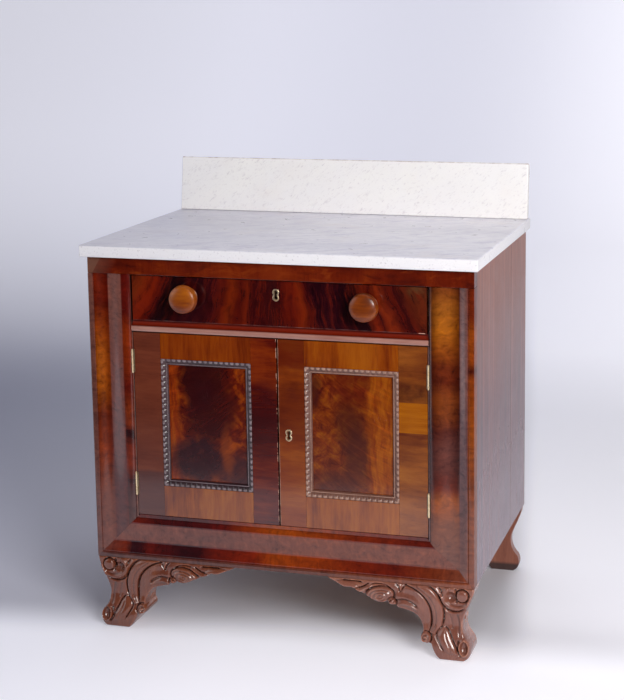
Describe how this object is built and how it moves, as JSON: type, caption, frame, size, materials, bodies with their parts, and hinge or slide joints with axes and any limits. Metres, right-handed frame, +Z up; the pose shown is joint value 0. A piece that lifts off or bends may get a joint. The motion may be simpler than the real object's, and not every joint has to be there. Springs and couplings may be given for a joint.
{
  "type": "washstand",
  "caption": "Marble-topped washstand with a leaning marble backsplash, a drawer above a panelled cupboard, a mitred ogee frame and carved scroll feet, for a basin and linen.",
  "frame": {"origin": "on the floor, at the middle of the overall box seen from above", "axes": "+X to the right seen from the front, +Y to the back, +Z up"},
  "size_m": [0.81, 0.5818, 0.9167],
  "materials": {
    "mahogany_veneer": "dark red-brown mahogany veneer, French-polished",
    "mahogany_figured": "orange-red figured mahogany veneer, French-polished",
    "mahogany_carved": "dark carved mahogany, polished and hazy with age",
    "turned_wood": "amber-brown turned wood, polished",
    "secondary_wood": "unpolished pine",
    "white_marble": "honed white marble with faint grey veins",
    "old_brass": "aged brass",
    "lock_iron": "dull iron"
  },
  "bodies": {
    "case": {"marble_top": "white_marble", "marble_backsplash": "white_marble", "side_panel_left": "mahogany_figured", "side_panel_right": "mahogany_figured", "back_board_1": "secondary_wood", "back_board_2": "secondary_wood", "bottom_board": "secondary_wood", "top_rail_front": "mahogany_veneer", "top_rail_rear": "secondary_wood", "top_batten": "secondary_wood", "frame_moulding_left": "mahogany_veneer", "frame_moulding_right": "mahogany_veneer", "frame_moulding_bottom": "mahogany_veneer", "divider_rail": "secondary_wood", "divider_moulding": "mahogany_veneer", "drawer_runner_left": "secondary_wood", "drawer_runner_right": "secondary_wood", "front_foot_left": "mahogany_carved", "front_foot_right": "mahogany_carved", "rear_foot_left": "mahogany_carved", "rear_foot_right": "mahogany_carved", "hinge_lower_left_frame_leaf": "old_brass", "hinge_upper_left_frame_leaf": "old_brass", "hinge_lower_right_frame_leaf": "old_brass", "hinge_upper_right_frame_leaf": "old_brass", "hinge_lower_left_pin": "old_brass", "hinge_upper_left_pin": "old_brass", "hinge_lower_right_pin": "old_brass", "hinge_upper_right_pin": "old_brass"},
    "drawer": {"drawer_front": "mahogany_veneer", "drawer_side_left": "secondary_wood", "drawer_side_right": "secondary_wood", "drawer_back": "secondary_wood", "drawer_bottom": "secondary_wood", "drawer_knob_left": "turned_wood", "drawer_knob_right": "turned_wood", "drawer_escutcheon": "old_brass", "drawer_lock": "lock_iron"},
    "drawer_lock_bolt": {"drawer_bolt": "old_brass"},
    "left_door": {"door_left_outer_stile": "mahogany_veneer", "door_left_inner_stile": "mahogany_veneer", "door_left_bottom_rail": "mahogany_figured", "door_left_top_rail": "mahogany_figured", "door_left_panel": "mahogany_figured", "ripple_moulding_left": "mahogany_carved", "left_door_bolt_plate": "old_brass", "hinge_lower_left_door_leaf": "old_brass", "hinge_upper_left_door_leaf": "old_brass"},
    "left_door_slide_bolt": {"left_door_bolt": "old_brass"},
    "right_door": {"door_right_outer_stile": "mahogany_veneer", "door_right_inner_stile": "mahogany_veneer", "door_right_bottom_rail": "mahogany_figured", "door_right_top_rail": "mahogany_figured", "door_right_panel": "mahogany_figured", "ripple_moulding_right": "mahogany_carved", "door_escutcheon": "old_brass", "door_lock": "lock_iron", "hinge_lower_right_door_leaf": "old_brass", "hinge_upper_right_door_leaf": "old_brass"},
    "right_door_lock_bolt": {"door_bolt": "old_brass"}
  },
  "joints": [
    {"name": "drawer_slide", "type": "slide", "parent": "case", "child": "drawer", "axis": [0, -1, 0], "range_m": [0, 0.38]},
    {"name": "drawer_bolt_slide", "type": "slide", "parent": "drawer", "child": "drawer_lock_bolt", "axis": [0, 0, 1], "range_m": [0, 0.008]},
    {"name": "left_door_hinge", "type": "hinge", "parent": "case", "child": "left_door", "pos_m": [-0.30505, -0.25503, 0.2427], "axis": [0, 0, -1], "range_deg": [0, 110]},
    {"name": "left_door_bolt_slide", "type": "slide", "parent": "left_door", "child": "left_door_slide_bolt", "axis": [0, 0, 1], "range_m": [0, 0.01]},
    {"name": "right_door_hinge", "type": "hinge", "parent": "case", "child": "right_door", "pos_m": [0.30505, -0.25503, 0.2427], "axis": [0, 0, 1], "range_deg": [0, 110]},
    {"name": "door_bolt_slide", "type": "slide", "parent": "right_door", "child": "right_door_lock_bolt", "axis": [-1, 0, 0], "range_m": [0, 0.008]}
  ]
}
